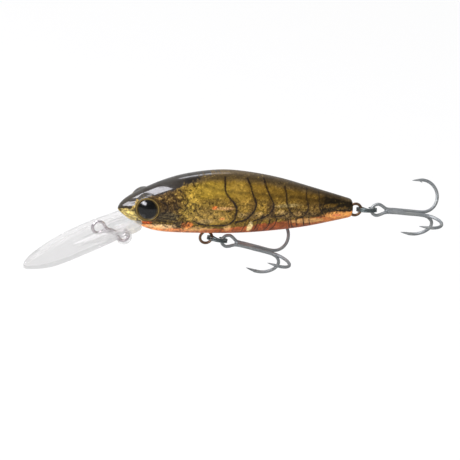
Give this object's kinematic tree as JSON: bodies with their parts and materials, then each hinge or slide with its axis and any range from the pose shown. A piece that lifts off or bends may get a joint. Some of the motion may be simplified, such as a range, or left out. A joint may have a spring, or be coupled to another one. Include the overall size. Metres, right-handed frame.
{
  "type": "crankbait lure",
  "caption": "Deep-diving minnow-shaped crankbait: two-part moulded body, clear diving lip, wire line tie and hangers, split rings and treble hooks.",
  "frame": {"origin": "centre of the line tie's front loop", "axes": "+X from the head towards the tail, +Z towards the back, -Y is the lure's left side"},
  "size_m": [0.1222, 0.0187, 0.0337],
  "materials": {
    "lacquered_body": "printed and lacquered over crinkled gold foil, wet gloss",
    "clear_lip": "clear polished polycarbonate",
    "gold_foil": "crinkled metallised film",
    "chromed_wire": "bright",
    "bronze_wire": "bronzed, bright",
    "eye_print": "printed film",
    "eye_resin": "clear domed resin",
    "ballast_brass": "turned",
    "tungsten": "sintered",
    "dark_nickel": "black nickel plate",
    "hook_steel": "tinned grey satin"
  },
  "bodies": {
    "root": {"body_shell_left": "lacquered_body", "body_shell_right": "lacquered_body", "diving_lip": "clear_lip", "foil_liner_left": "gold_foil", "foil_liner_right": "gold_foil", "line_tie_wire": "chromed_wire", "belly_hanger_wire": "bronze_wire", "tail_hanger_wire": "bronze_wire", "eye_disc_left": "eye_print", "eye_disc_right": "eye_print", "eye_dome_left": "eye_resin", "eye_dome_right": "eye_resin", "belly_ballast": "ballast_brass"},
    "transfer_weight": {"transfer_ball": "tungsten"},
    "belly_ring": {"belly_split_ring": "dark_nickel"},
    "belly_treble": {"belly_treble_double": "hook_steel", "belly_treble_single": "hook_steel"},
    "tail_ring": {"tail_split_ring": "dark_nickel"},
    "tail_treble": {"tail_treble_double": "hook_steel", "tail_treble_single": "hook_steel"}
  },
  "joints": [
    {"name": "transfer_weight_slide", "type": "slide", "parent": "root", "child": "transfer_weight", "axis": [1, 0, 0], "range_m": [-0.0102, 0.0102]},
    {"name": "belly_ring_swing", "type": "hinge", "parent": "root", "child": "belly_ring", "pos_m": [0.0319, 0, -0.00307], "axis": [0, 1, 0], "range_deg": [-2, 100]},
    {"name": "belly_treble_swing", "type": "hinge", "parent": "belly_ring", "child": "belly_treble", "pos_m": [0.0379, 0, -0.00408], "axis": [0, 1, 0], "range_deg": [-1, 50]},
    {"name": "tail_ring_swing", "type": "hinge", "parent": "root", "child": "tail_ring", "pos_m": [0.0754, 0, 0.0055], "axis": [0, 1, 0], "range_deg": [-75, 75]},
    {"name": "tail_treble_swing", "type": "hinge", "parent": "tail_ring", "child": "tail_treble", "pos_m": [0.08148, 0, 0.00545], "axis": [0, 1, 0], "range_deg": [-60, 60]}
  ]
}
